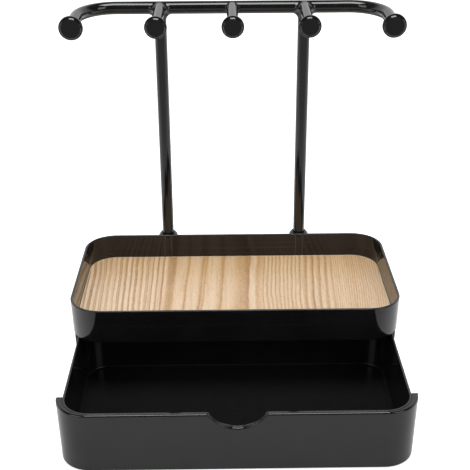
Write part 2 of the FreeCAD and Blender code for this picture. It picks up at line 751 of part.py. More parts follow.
# ---- the whole stand ------------------------------------------------------------------------

make_casing()
make_base_plate()
for foot_name, foot_x, foot_y in foot_places():
    make_foot(foot_name, foot_x, foot_y)
tray_sheet("panel_adhesive", TRAY_FLOOR, "adhesive_thickness", "adhesive_margin")
tray_sheet("wood_panel", f"({TRAY_FLOOR} + adhesive_thickness)", "panel_thickness", "panel_gap")
for bumper_side, bumper_sign in (("left", "-"), ("right", "")):
    make_bumper(bumper_side, bumper_sign)
make_hanger_frame()
for cap_name, cap_x, cap_size in (("outer_left", f"-{END_PEG_X}", "end_cap_radius"),
                                  ("left", f"-{POST_X}", "cap_radius"),
                                  ("centre", "0", "cap_radius"),
                                  ("right", POST_X, "cap_radius"),
                                  ("outer_right", END_PEG_X, "end_cap_radius")):
    make_cap(cap_name, cap_x, cap_size)
make_post_screws()
make_post_washers()
make_drawer_tub()
make_drawer_front()
doc.recompute()

for thing in doc.Objects:
    if {"Invalid", "Error"} & set(thing.State):
        raise RuntimeError(f"{thing.Label} is {thing.State}")
for sub_part in sub_parts:
    if sub_part.Shape.isNull() or not sub_part.Shape.isValid():
        raise RuntimeError(f"{sub_part.Label} has no valid shape")

os.makedirs("parts", exist_ok=True)
for sub_part in sub_parts:
    sub_part.Shape.exportStep(f"parts/{sub_part.Label}.step")
    box = sub_part.Shape.BoundBox
    print(f"{sub_part.Label}: {len(sub_part.Shape.Solids)} solid, {sub_part.Shape.Volume:.0f} mm3, "
          f"x {box.XMin:.2f} {box.XMax:.2f}, y {box.YMin:.2f} {box.YMax:.2f}, z {box.ZMin:.2f} {box.ZMax:.2f}")
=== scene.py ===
"""Jewelry stand with a sunken tray, a drawer and a five-peg hanger: its pieces and finishes.

Sizes are in metres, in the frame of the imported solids: +Z up, the drawer opens towards -Y.
"""
import math

import bmesh
import bpy
from bpy.props import FloatProperty, FloatVectorProperty, IntProperty, PointerProperty
from mathutils import Matrix, Vector


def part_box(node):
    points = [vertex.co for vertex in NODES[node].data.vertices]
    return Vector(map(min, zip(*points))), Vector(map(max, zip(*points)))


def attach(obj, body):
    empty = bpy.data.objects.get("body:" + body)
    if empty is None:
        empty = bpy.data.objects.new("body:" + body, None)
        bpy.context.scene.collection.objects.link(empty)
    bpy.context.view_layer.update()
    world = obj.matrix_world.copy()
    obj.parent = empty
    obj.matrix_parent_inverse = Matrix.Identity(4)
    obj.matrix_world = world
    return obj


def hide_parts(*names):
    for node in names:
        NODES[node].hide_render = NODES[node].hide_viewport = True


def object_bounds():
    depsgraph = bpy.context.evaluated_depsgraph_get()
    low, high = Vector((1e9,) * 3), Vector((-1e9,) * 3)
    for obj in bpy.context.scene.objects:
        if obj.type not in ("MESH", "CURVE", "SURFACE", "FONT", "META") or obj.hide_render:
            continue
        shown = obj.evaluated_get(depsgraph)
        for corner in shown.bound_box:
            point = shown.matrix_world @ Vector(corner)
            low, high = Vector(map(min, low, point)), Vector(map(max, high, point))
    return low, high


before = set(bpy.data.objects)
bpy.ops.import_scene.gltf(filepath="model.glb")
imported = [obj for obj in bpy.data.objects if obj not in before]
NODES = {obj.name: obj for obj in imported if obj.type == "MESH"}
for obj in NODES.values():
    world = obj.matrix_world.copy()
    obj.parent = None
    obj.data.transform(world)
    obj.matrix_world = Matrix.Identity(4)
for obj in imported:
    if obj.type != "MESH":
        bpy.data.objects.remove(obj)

bl_info = {
    "name": "Jewelry Stand",
    "version": (1, 0, 0),
    "blender": (4, 5, 0),
    "location": "View3D > Sidebar > Stand",
    "description": "Builds a gloss black jewelry stand with a veneered tray and a drawer",
    "category": "Add Mesh",
}

MM = 0.001
TOUCH = 0.001 * MM  # points nearer than this are one place
HAIR = 0.1 * MM     # margin for picking edges by their place
CAD_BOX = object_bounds()
SIDES = (-1, 1)
PEGS = ("outer_left", "left", "centre", "right", "outer_right")


def box_size(node, axis):
    low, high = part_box(node)
    return high[axis] - low[axis]


# ---- settings ----

def length(name, description, default):
    return FloatProperty(name=name, description=description, default=default, min=0,
                         unit="LENGTH", subtype="DISTANCE", precision=5)


def angle(name, description, degrees):
    return FloatProperty(name=name, description=description, default=math.radians(degrees),
                         unit="ROTATION", subtype="ANGLE")


def colour(name, description, default):
    return FloatVectorProperty(name=name, description=description, default=default, size=3,
                               min=0, max=1, subtype="COLOR")


def factor(name, description, default):
    return FloatProperty(name=name, description=description, default=default, min=0, max=1,
                         subtype="FACTOR")


def group(kind, name, description):
    return PointerProperty(type=kind, name=name, description=description)


class CasingSettings(bpy.types.PropertyGroup):
    width: length("Width", "Outer width at the rim", box_size("casing", 0))
    depth: length("Depth", "Outer depth at the rim", 134 * MM)
    corner_radius: length("Corner radius", "Outer corner radius at the rim", 24.5 * MM)
    corner_steps: IntProperty(name="Corner steps", description="Facets round each moulded corner",
                              default=24, min=4, max=64)
    draft: angle("Draft", "Slope of the moulded walls, narrowing downwards", 1.6)
    rim_height: length("Rim height", "Height of the rim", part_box("casing")[1][2])
    wall: length("Wall", "Wall thickness", 2 * MM)
    rim_rounding: length("Rim rounding", "Radius on both edges of the rim", 0.7 * MM)
    tray_floor: length("Tray floor", "Height of the tray's floor under the panel", 50.7 * MM)
    bay_ceiling: length("Bay ceiling", "Height of the drawer bay's ceiling", 48.7 * MM)
    lip: length("Lip", "Height of the lip above the drawer's opening", 46.7 * MM)
    side_start: length("Side start", "Distance of the side walls' front ends from the middle",
                       42.92 * MM)
    edge_softness: length("Edge softness", "Radius on the lower edges", 0.35 * MM)


class PanelSettings(bpy.types.PropertyGroup):
    easing: length("Easing", "Radius on the panel's upper edge", 0.35 * MM)
    spread: length("Spread", "How far the veneer's edge stands out to the tray's wall", 0.2 * MM)


class SocketSettings(bpy.types.PropertyGroup):
    spacing: length("Spacing", "Distance between the posts' axes", 113.2 * MM)
    setback: length("Setback", "Distance of the posts' axes from the middle", 72.45 * MM)
    radius: length("Radius", "Outer radius of a socket", 8 * MM)
    land: length("Land", "Outer radius of the flat ring on top", 6.4 * MM)
    mouth: length("Mouth", "Radius of the bore's mouth", 5.8 * MM)
    bore: length("Bore", "Radius of the bore", 4.8 * MM)
    flare: length("Flare", "Depth of the bore's flared mouth", 1 * MM)
    cone_height: length("Cone height", "Height of the conical top", 2 * MM)
    foot: length("Foot", "Height of the socket's lower end", 6.15 * MM)
    floor: length("Floor", "Height of the bore's floor", 13.5 * MM)
    screw_hole: length("Screw hole", "Radius of the screw hole below the bore", 1.8 * MM)
    edge_softness: length("Edge softness", "Radius on the upper edges", 0.22 * MM)


class DrawerSettings(bpy.types.PropertyGroup):
    height: length("Height", "Height of the drawer's top edge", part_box("drawer_front")[1][2])
    front_thickness: length("Front thickness", "Thickness of the drawer front", 2 * MM)
    ear_depth: length("Ear depth", "How far the front reaches back round each corner",
                      box_size("drawer_front", 1))
    tub_half_width: length("Tub half width", "Half the tub's width at its top",
                           box_size("drawer_tub", 0) / 2)
    tub_length: length("Tub length", "Length of the tub at its top", box_size("drawer_tub", 1))
    tub_bottom: length("Tub bottom", "Height of the tub's underside", 2.4 * MM)
    tub_floor: length("Tub floor", "Height of the tub's floor", 4.2 * MM)
    tub_wall: length("Tub wall", "Wall thickness of the tub", 1.8 * MM)
    tub_corner: length("Tub corner", "Outer corner radius of the tub at its top", 20 * MM)
    floor_rounding: length("Floor rounding", "Radius between the tub's floor and walls", 1.8 * MM)
    foot_rounding: length("Foot rounding", "Radius on the tub's lower outer edge", 0.8 * MM)
    edge_softness: length("Edge softness", "Radius on the upper edges", 0.45 * MM)
    seam_softness: length("Seam softness", "Radius where tub and front meet", 0.4 * MM)
    front_softness: length("Front softness", "Radius on the front's outer upper edge", 1.3 * MM)
    gate_radius: length("Gate mark", "Radius of the moulding gate's mark on the floor", 2.2 * MM)
    gate_height: length("Gate height", "Height of the moulding gate's mark", 0.3 * MM)
    notch_radius: length("Notch radius", "Radius of the finger notch", 21.5 * MM)
    notch_depth: length("Notch depth", "Depth of the finger notch", 11.4 * MM)
    notch_shoulder: length("Notch shoulder", "Radius of the notch's shoulders", 4 * MM)


class CapSettings(bpy.types.PropertyGroup):
    thickness: length("Thickness", "Thickness of a cap", 3.6 * MM)
    edge_width: length("Edge width", "Width of the steep outer edge", 0.35 * MM)
    edge_slope: angle("Edge slope", "How far the outer edge falls away from the face", 60)
    flange_width: length("Flange width", "Width of the low band round the raised face", 0.8 * MM)
    flange_slope: angle("Flange slope", "How far the band falls away from the face", 10)
    step_width: length("Step width", "Width of the steep step up to the face", 0.7 * MM)
    step_slope: angle("Step slope", "How far the step falls away from the face", 51)
    back_rounding: length("Back rounding", "Radius on the back's outer edge", 0.8 * MM)
    peg_slope: angle("Peg slope", "How far the pegs drop towards their caps", 3)
    spigot: length("Spigot", "Radius of the bore that holds the peg's pin", 2.55 * MM)
    spigot_depth: length("Spigot depth", "Depth of that bore", 2 * MM)


class FinishSettings(bpy.types.PropertyGroup):
    plastic: colour("Plastic", "Colour of the gloss plastic", (0.006, 0.006, 0.0065))
    gloss: factor("Gloss roughness", "Roughness of the polished plastic", 0.07)
    wood_pale: colour("Pale wood", "Colour between the growth rings", (0.755, 0.59, 0.425))
    wood_mid: colour("Wood", "Main colour of the veneer", (0.585, 0.385, 0.22))
    wood_dark: colour("Dark wood", "Colour of the growth rings", (0.34, 0.19, 0.095))
    rubber: colour("Rubber", "Colour of the feet and stops", (0.022, 0.022, 0.023))
    steel: colour("Steel", "Colour of the plated screws", (0.62, 0.61, 0.58))
    adhesive: colour("Adhesive", "Colour of the adhesive film", (0.72, 0.68, 0.58))


class StageSettings(bpy.types.PropertyGroup):
    floor_colour: colour("Floor", "Colour of the floor", (0.9, 0.9, 0.9))
    floor_size: length("Floor size", "Width of the floor", 9.0)
    lamp_power: FloatProperty(name="Lamp power", description="Power of the soft lamp overhead",
                              default=13.5, min=0, unit="POWER")
    fill: factor("Fill", "Strength of the even light from all round", 0.27)
    lens: FloatProperty(name="Lens", description="Focal length on a 36 mm wide sensor",
                        default=72.823, min=1, unit="CAMERA")
    camera_place: FloatVectorProperty(name="Camera", description="Where the camera stands", size=3,
                                      default=(-0.00656, -0.67807, 0.42004), subtype="TRANSLATION",
                                      unit="LENGTH")
    pitch: angle("Pitch", "How far the camera looks down", 25.02)
    yaw: angle("Yaw", "How far the camera looks to the right", 0.6)
    roll: angle("Roll", "How far the camera leans", -0.32)


def settings():
    return bpy.context.scene.jewelry_stand


# ---- shader maths ----

class Signal:
    """A socket whose value varies over a surface; arithmetic on it adds Math nodes."""

    def __init__(self, finish, socket):
        self.finish = finish
        self.socket = socket

    def math(self, operation, *values):
        return self.finish.node("ShaderNodeMath", {"operation": operation}, *values)

    def __add__(self, other):
        return self.math("ADD", self, other)

    __radd__ = __add__

    def __sub__(self, other):
        return self.math("SUBTRACT", self, other)

    def __rsub__(self, other):
        return self.math("SUBTRACT", other, self)

    def __mul__(self, other):
        return self.math("MULTIPLY", self, other)

    __rmul__ = __mul__

    def __truediv__(self, other):
        return self.math("DIVIDE", self, other)

    def __pow__(self, other):
        return self.math("POWER", self, other)

    def __mod__(self, other):
        return self.math("FLOORED_MODULO", self, other)

    def at_least(self, other):
        return self.math("MAXIMUM", self, other)

    def at_most(self, other):
        return self.math("MINIMUM", self, other)

    def clamped(self):
        return self.at_least(0).at_most(1)

    def floored(self):
        return self.math("FLOOR", self)

    def size(self):
        """The value without its sign."""
        return self.math("ABSOLUTE", self)

    def between(self, low, high):
        """0 at low, 1 at high and smooth in between."""
        return self.finish.node("ShaderNodeMapRange", {"interpolation_type": "SMOOTHSTEP"},
                                Value=self, **{"From Min": low, "From Max": high})

    def near(self, place, reach):
        """1 at a place, fading to 0 at its reach on both sides."""
        return self.between(place - reach, place) * (1 - self.between(place, place + reach))


class Finish:
    """One material or world, and the nodes that are added to it."""

    def __init__(self, owner):
        owner.use_nodes = True
        self.owner = owner
        self.tree = owner.node_tree
        self.tree.nodes.clear()

    def node(self, kind, settings=None, *values, output=0, **named):
        """Add a node: its settings first, then the values or links of its sockets."""
        node = self.tree.nodes.new(kind)
        for name, setting in (settings or {}).items():
            if name == "stops":
                self.set_stops(node.color_ramp, setting)
            else:
                setattr(node, name, setting)
        for key, value in [*enumerate(values), *named.items()]:
            self.feed(node.inputs[key], value)
        return Signal(self, node.outputs[output]) if node.outputs else node

    def feed(self, socket, value):
        """Link a signal to a socket, or set a number, a vector or an opaque colour on it."""
        if isinstance(value, Signal):
            self.tree.links.new(value.socket, socket)
        else:
            socket.default_value = (*value, 1) if socket.type == "RGBA" else value

    def set_stops(self, ramp, stops):
        """Give a colour ramp its grey stops, each with its place and shade."""
        while len(ramp.elements) < len(stops):
            ramp.elements.new(0.5)
        for element, (place, shade) in zip(ramp.elements, stops):
            element.position = place
            element.color = (shade, shade, shade, 1)

    def outputs(self, signal, *names):
        """Several outputs of the node that a signal comes from."""
        return [Signal(self, signal.socket.node.outputs[name]) for name in names]

    def place(self, stretch=(1, 1, 1), shift=(0, 0, 0)):
        """The piece's own coordinates in metres, stretched and shifted."""
        coordinates = self.node("ShaderNodeTexCoord", output="Object")
        return self.node("ShaderNodeMapping", {}, coordinates, Location=shift, Scale=stretch)

    def axes(self, vector=None):
        """X, Y and Z of a vector, or else of the piece's own coordinates in metres."""
        split = self.node("ShaderNodeSeparateXYZ", {}, vector or self.place())
        return self.outputs(split, 0, 1, 2)

    def rays(self):
        """1 where the camera looks straight at it, and 1 where a reflection does."""
        paths = self.node("ShaderNodeLightPath")
        return self.outputs(paths, "Is Camera Ray", "Is Glossy Ray")

    def noise(self, scale=1.0, detail=2.0, roughness=0.5, stretch=(1, 1, 1), shift=(0, 0, 0)):
        return self.node("ShaderNodeTexNoise", {}, Vector=self.place(stretch, shift), Scale=scale,
                         Detail=detail, Roughness=roughness)

    def blend(self, amount, first, second):
        """Two colours mixed by an amount."""
        mixed = self.node("ShaderNodeMix", {"data_type": "RGBA"}, amount, output=2)
        for index, tint in ((6, first), (7, second)):
            self.feed(mixed.socket.node.inputs[index], tint)
        return mixed

    def surface(self, base, roughness, relief, depth, strength=1.0, **uniform):
        """End in the solid pieces' shader, with the relief bumped to a depth in metres."""
        bump = self.node("ShaderNodeBump", {}, Strength=strength, Distance=depth, Height=relief)
        shader = self.node("ShaderNodeBsdfPrincipled", {}, Roughness=roughness, Normal=bump,
                           **{"Base Color": base}, **uniform)
        self.node("ShaderNodeOutputMaterial", {}, shader)
        return self.owner


# ---- finishes ----

def new_finish(name):
    """A new material to fill with nodes, and the colours that are set for it."""
    return Finish(bpy.data.materials.new(name)), settings().finish


def shaded(tint, amount):
    """A colour made lighter or darker."""
    return tuple(amount * value for value in tint)


def gloss_plastic(name, wall_streaks_and_sheen=False):
    """Polished black moulding: nearly black, with faint handling haze and soft waviness."""
    finish, look = new_finish(name)
    haze = finish.noise(38, detail=4, roughness=0.6)
    specks = finish.noise(900, detail=1)
    base = finish.blend(haze.between(0.35, 0.75), look.plastic, shaded(look.plastic, 1.5))
    roughness = look.gloss + 0.05 * haze.between(0.45, 0.8) + 0.03 * specks.between(0.6, 0.75)
    height = finish.noise(26, detail=1) + 0.05 * finish.noise(420)
    if wall_streaks_and_sheen:
        base, height = add_wall_streaks_and_sheen(finish, base, height)
    return finish.surface(base, roughness, height, 0.09 * MM, IOR=1.5)


def add_wall_streaks_and_sheen(finish, base, height):
    """Add faint streaks to the tray's walls with the veneer's reflection painted along them, and a
    raised pair of lines painted pale as highlights where each socket joins.
    """
    casing, socket = settings().casing, settings().socket
    # the first colour is the veneer's painted reflection in the walls, the second the painted
    # highlight of the lines by the sockets
    painted_wood_reflection, pale = (0.028, 0.021, 0.018), (0.06, 0.058, 0.056)
    skin, pair_reach, pair_softness = 0.2 * MM, 3 * MM, 0.6 * MM
    x, y, z = finish.axes()
    inset = draft_inset(z) + casing.wall / 2
    inside = z.between(casing.tray_floor, casing.tray_floor + MM) \
        * (casing.width / 2 - inset - x.size()).between(0, skin) \
        * (casing.depth / 2 - inset - y.size()).between(0, skin)
    # faint streaks, raised a little and painted with the veneer's brown reflection
    streaks_and_reflection = finish.noise(stretch=(5, 5, 900), roughness=0.7)
    # painted reflection: the veneer's brown laid along the streaks on the tray's inner walls
    base = finish.blend(0.7 * inside * streaks_and_reflection.between(0.56, 0.7), base, painted_wood_reflection)
    beside = (x.size() - socket.spacing / 2).size()
    back = casing.depth / 2 - casing.wall - draft_inset(casing.tray_floor)
    pair = beside.near(pair_reach, pair_softness) * inside * y.between(back - 3 * MM, back - MM)
    # painted highlight: the pale pair of lines on the raised ridges where each socket joins the
    # back wall
    base = finish.blend(0.6 * pair, base, pale)
    return base, height + 0.25 * inside * streaks_and_reflection + 0.6 * pair


def satin_black(name):
    """Fine-textured black for the cap faces and the drawer floor."""
    finish, look = new_finish(name)
    grain = finish.noise(2600, roughness=0.6)
    cloud = finish.noise(160, detail=3)
    base = finish.blend(cloud, look.plastic, shaded(look.plastic, 1.6))
    return finish.surface(base, 0.22 + 0.14 * grain, grain, 0.04 * MM, strength=0.7,
                          **{"IOR": 1.5, "Specular IOR Level": 0.24})


def satin_plastic(name):
    """Spark-eroded black moulding for the underside."""
    finish, look = new_finish(name)
    grain = finish.noise(1500, detail=3, roughness=0.6)
    rubbed = finish.noise(30, detail=4, roughness=0.65)
    dark = shaded(look.plastic, 1.8)
    base = finish.blend(rubbed.between(0.4, 0.8), dark, shaded(dark, 1.8))
    roughness = 0.36 + 0.16 * grain - 0.08 * rubbed.between(0.5, 0.75)
    return finish.surface(base, roughness, grain, 0.05 * MM, strength=0.7, IOR=1.5)


def rubber(name):
    """Matt moulded rubber with a fine grain and a little dust."""
    finish, look = new_finish(name)
    grain = finish.noise(2200, detail=3, roughness=0.7)
    dust = finish.noise(260, detail=5, roughness=0.7)
    dust_grey = (0.07, 0.068, 0.064)
    base = finish.blend(0.5 * dust.between(0.55, 0.8), look.rubber, dust_grey)
    return finish.surface(base, 0.72 + 0.16 * grain, grain, 0.06 * MM, strength=0.8, IOR=1.52)


def plated_steel(name):
    """Zinc-plated steel with turning marks round its axis and a mottled plating."""
    finish, look = new_finish(name)
    mottle = finish.noise(420, detail=4, roughness=0.6)
    turning = finish.noise(5200, stretch=(0.1, 0.1, 1))
    bluish = (0.82, 0.87, 0.94)
    cool = tuple(value * shade for value, shade in zip(look.steel, bluish))
    base = finish.blend(mottle.between(0.35, 0.65), look.steel, cool)
    roughness = 0.24 + 0.14 * mottle + 0.08 * turning
    return finish.surface(base, roughness, turning, 0.02 * MM, strength=0.6, Metallic=1.0)


def adhesive_film(name):
    """Pale transfer adhesive with trapped air and fibre marks."""
    finish, look = new_finish(name)
    cloud = finish.noise(120, detail=4, roughness=0.6)
    bubbles = finish.node("ShaderNodeTexVoronoi", {}, Vector=finish.place(), Scale=420.0)
    ring = 1 - bubbles.between(0.05, 0.16)
    base = finish.blend(cloud.between(0.3, 0.7), look.adhesive, shaded(look.adhesive, 0.85))
    return finish.surface(base, 0.42 + 0.2 * cloud, ring, 0.05 * MM, strength=0.5, IOR=1.47)


# The veneer's growth rings, in millimetres across the grain: where the narrow rings of the left
# end and those of the right begin, how wide they are, and how dark each broad band between is.
LEFT_END, RIGHT_END = (-58, -54), (20, 28)
RING_WIDTHS = ((-200, -57, 4.5), (24, 57, 3.3), (57, 83, 5.6), (83, 200, 1.8))
RING_BANDS = (
    (-60, 0.5), (-57, 0.55), (-53, 0.66), (-50, 0.74), (-48.6, 0.2), (-44, 0.02), (-40.5, 0.1),
    (-38.6, 0.78), (-37.2, 0.14), (-31, 0), (-27.8, 0.16), (-26.2, 0.85), (-24.6, 0.3),
    (-23.4, 0.7), (-22, 0.1), (-15, 0), (-11.5, 0.26), (-8.6, 0.74), (-7, 0.16), (-2, 0.06),
    (2, 0.3), (9, 0.55), (13.4, 0.85), (14.8, 0.06), (18.4, 0.04), (20.5, 0.5), (25, 0.42),
    (30, 0.45),
)


def panel_border(x, y):
    """1 on the panel's eased edge, where the veneer is cut through and a highlight is painted; X
    and Y in millimetres.
    """
    _, (half_width, half_depth, _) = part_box("wood_panel")
    casing = settings().casing
    radius = (casing.corner_radius - (casing.width / 2 - half_width)) / MM
    across = x.size() + radius - half_width / MM
    along = y.size() + radius - half_depth / MM
    corner = (across.at_least(0) ** 2 + along.at_least(0) ** 2) ** 0.5
    inner = across.at_least(along).at_most(0)
    return (corner + inner - radius).between(-0.9, -0.3)


def growth_rings(finish, grain, in_right_end):
    """How dark the growth rings are, and how far the fine rings of the right end show."""
    counted = sum(grain.at_least(low).at_most(high) / width for low, high, width in RING_WIDTHS)
    line = {"noise_dimensions": "1D"}
    uneven = finish.node("ShaderNodeTexNoise", line, W=grain * 0.16, Detail=1.0)
    counted = counted + uneven * (0.9 - 0.55 * in_right_end)
    phase = counted % 1
    year = finish.node("ShaderNodeTexWhiteNoise", line, W=counted.floored())
    late = phase.between(0.3, 0.84) * (1 - phase.between(0.9, 1.0))
    left = 1 - grain.between(*LEFT_END)
    right = in_right_end * (0.6 + 0.15 * grain.between(54, 60) - 0.2 * grain.between(78, 86))
    narrow = late * ((0.55 + 0.45 * year) * left + (0.75 + 0.25 * year) * right)
    low, high = RING_BANDS[0][0], RING_BANDS[-1][0]
    stops = [((place - low) / (high - low), shade) for place, shade in RING_BANDS]
    bands = finish.node("ShaderNodeValToRGB", {"stops": stops}, (grain - low) / (high - low))
    return narrow + (1 - left) * (1 - in_right_end) * bands, right


def ash_veneer(name):
    """Ash veneer: broad bands in the middle, narrow rings on the left, fine ones on the right."""
    finish, look = new_finish(name)
    pale, mid, dark = look.wood_pale, look.wood_mid, look.wood_dark
    honey, rear_shade_amber, cut_edge_and_highlight = (0.66, 0.41, 0.2), (0.5, 0.26, 0.02), (0.86, 0.7, 0.5)
    x, y, _ = finish.axes()
    x, y = x * 1000, y * 1000  # millimetres from here on
    wave = 9 * (finish.noise(stretch=(6, 8, 1), shift=(3.1, 0.4, 0)) - 0.5)
    ripple = 1.7 * (finish.noise(stretch=(60, 22, 1)) - 0.5)
    lean = (40 - y) * (0.09 * x.between(-85, -20) - 0.035)
    grain = x + lean + wave + ripple
    rings, right = growth_rings(finish, grain, grain.between(*RIGHT_END))
    fibres = finish.noise(stretch=(1300, 30, 1), detail=3, roughness=0.6)
    flecks = finish.noise(stretch=(850, 100, 1), roughness=0.7)
    streaks = finish.noise(stretch=(330, 10, 1), detail=3, roughness=0.6)
    dashes = finish.noise(stretch=(3400, 240, 1), detail=1)
    tone = finish.noise(stretch=(16, 7, 1), shift=(1.7, 2.2, 0))
    porous = rings.between(0.2, 0.7) + right.clamped() * 0.5
    pores = dashes.between(0.55, 0.67) * (0.3 + 0.7 * porous).clamped()
    # painted shade: towards the tray's back wall the rings darken and the veneer turns amber
    rear = y.between(0, 55)
    depth = ((1.05 + 0.4 * rear) * rings + 0.16 * right.clamped()).clamped()
    base = finish.blend((2 * depth).at_most(1), pale, mid)
    for amount, tint in (
            ((2 * depth - 1).at_least(0) * 0.85, dark),
            (0.4 * tone.between(0.42, 0.68), honey),
            (0.32 * streaks.between(0.42, 0.72), shaded(mid, 0.62)),
            (0.3 * fibres.between(0.5, 0.74), shaded(pale, 1.12)),
            (0.22 * flecks.between(0.5, 0.66), shaded(mid, 0.9)),
            (0.18 * (1 - flecks).between(0.5, 0.66), shaded(pale, 1.15)),
            (0.6 * pores, shaded(dark, 0.75)),
            # painted shade towards the back wall
            (0.22 * rear, rear_shade_amber),
            # the cut-through veneer's paler wood together with a painted highlight on the eased
            # edge
            (0.6 * panel_border(x, y), cut_edge_and_highlight)):
        base = finish.blend(amount, base, tint)
    roughness = 0.4 + 0.14 * fibres + 0.12 * pores
    relief = 0.5 * fibres - 0.8 * pores - 0.2 * rings
    return finish.surface(base, roughness, relief, 0.05 * MM, strength=0.6, IOR=1.45)


# ---- mesh tools ----

def outline(bm, half_width, front, back, radius, height, columns=()):
    """A rounded rectangle of edges, from -front to back; columns add points along its front."""
    known = set(bm.edges)
    corners = bmesh.ops.create_grid(bm, x_segments=1, y_segments=1, size=1)["verts"]
    bmesh.ops.scale(bm, verts=corners, vec=(half_width, (front + back) / 2, 1))
    bmesh.ops.translate(bm, verts=corners, vec=(0, (back - front) / 2, height))
    bmesh.ops.bevel(bm, geom=corners, offset=radius, offset_type="OFFSET", affect="VERTICES",
                    segments=settings().casing.corner_steps, profile=0.5, material=-1)
    made = [edge for edge in bm.edges if edge not in known]
    faces = {face for edge in made for face in edge.link_faces}
    bmesh.ops.delete(bm, geom=list(faces), context="FACES_ONLY")
    if columns:
        straight = [edge for edge in made
                    if all(abs(vert.co.y + front) < TOUCH for vert in edge.verts)]
        cut = bmesh.ops.subdivide_edges(bm, edges=straight, cuts=len(columns))["geom_inner"]
        points = sorted((item for item in cut if isinstance(item, bmesh.types.BMVert)),
                        key=lambda vert: vert.co.x)
        for point, x in zip(points, columns):
            point.co.x = x
    return [edge for edge in bm.edges if edge not in known]


def bridge(bm, *outlines):
    """Walls from each outline to the next, held apart meanwhile so that none twists."""
    for first, second in zip(outlines, outlines[1:]):
        points = list({vert for edge in second for vert in edge.verts})
        bmesh.ops.translate(bm, verts=points, vec=(0, 0, 1))
        bmesh.ops.bridge_loops(bm, edges=first + second)
        bmesh.ops.translate(bm, verts=points, vec=(0, 0, -1))


def fill(bm, edges):
    bmesh.ops.contextual_create(bm, geom=edges)


def soften(bm, edges, size, segments):
    """Round the edges that are left of those given."""
    bmesh.ops.bevel(bm, geom=[edge for edge in edges if edge.is_valid], offset=size,
                    offset_type="OFFSET", affect="EDGES", segments=segments, profile=0.5,
                    material=-1, clamp_overlap=True)


def creases(bm, keep=lambda place: True, degrees=50):
    """The edges between faces that meet at more than an angle, if their middle is to be kept."""
    return [edge for edge in bm.edges if edge.is_manifold
            and edge.calc_face_angle() > math.radians(degrees) and keep(middle(edge))]


def middle(edge):
    return (edge.verts[0].co + edge.verts[1].co) / 2


def cut_across(bm, y, **sides):
    """Cut everything along a plane across the drawer's way."""
    bmesh.ops.bisect_plane(bm, geom=[*bm.verts, *bm.edges, *bm.faces], dist=TOUCH,
                           plane_co=(0, y, 0), plane_no=(0, 1, 0), **sides)


def block(bm, low, high):
    """A closed box between two corners."""
    low, high = Vector(low), Vector(high)
    made = bmesh.ops.create_cube(bm, size=1)["verts"]
    bmesh.ops.scale(bm, verts=made, vec=high - low)
    bmesh.ops.translate(bm, verts=made, vec=(low + high) / 2)


def turned(bm, profile, steps, closed=True):
    """Spin a radius-height outline about Z into a closed solid."""
    known = set(bm.verts)
    points = [bm.verts.new((radius, 0, height)) for radius, height in profile]
    pairs = list(zip(points, points[1:]))
    if closed:
        pairs.append((points[-1], points[0]))
    edges = [bm.edges.new(pair) for pair in pairs]
    bmesh.ops.spin(bm, geom=points + edges, cent=(0, 0, 0), axis=(0, 0, 1), angle=math.tau,
                   steps=steps, use_merge=True)
    made = [vert for vert in bm.verts if vert not in known]
    bmesh.ops.remove_doubles(bm, verts=made, dist=TOUCH)
    return [vert for vert in bm.verts if vert not in known]


def show(name, data):
    """Put a mesh, lamp or camera into the scene."""
    made = bpy.data.objects.new(name, data)
    bpy.context.scene.collection.objects.link(made)
    return made


def piece(bm, name, body, slot, materials, *replaced, sharp=38):
    """Make an object of a mesh, smooth but for creases sharper than an angle, on its body."""
    bmesh.ops.recalc_face_normals(bm, faces=bm.faces)
    mesh = bpy.data.meshes.new(name)
    bm.to_mesh(mesh)
    bm.free()
    for material in materials:
        mesh.materials.append(material)
    mesh.shade_smooth()
    mesh.set_sharp_from_angle(angle=math.radians(sharp))
    made = show(name, mesh)
    weighted = made.modifiers.new("even_shading", "WEIGHTED_NORMAL")
    weighted.keep_sharp = True
    weighted.weight = 100
    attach(made, body)
    if replaced:
        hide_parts(*replaced)


def coat(material, *names):
    """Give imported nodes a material."""
    for name in names:
        for slot in NODES[name].material_slots:
            slot.material = material


# ---- casing ----

def wall_lean():
    """How far a moulded wall leans in for each metre that it goes down."""
    return math.tan(settings().casing.draft)


def draft_inset(height):
    """How far the casing's outside has gone in at a height."""
    return (settings().casing.rim_height - height) * wall_lean()


def casing_outline(bm, height, wall=0, columns=()):
    """The drafted casing's section at a height, a wall's thickness inside."""
    casing = settings().casing
    inset = draft_inset(height) + wall
    half_width, half_depth = casing.width / 2 - inset, casing.depth / 2 - inset
    return outline(bm, half_width, half_depth, half_depth, casing.corner_radius - inset, height,
                   columns)


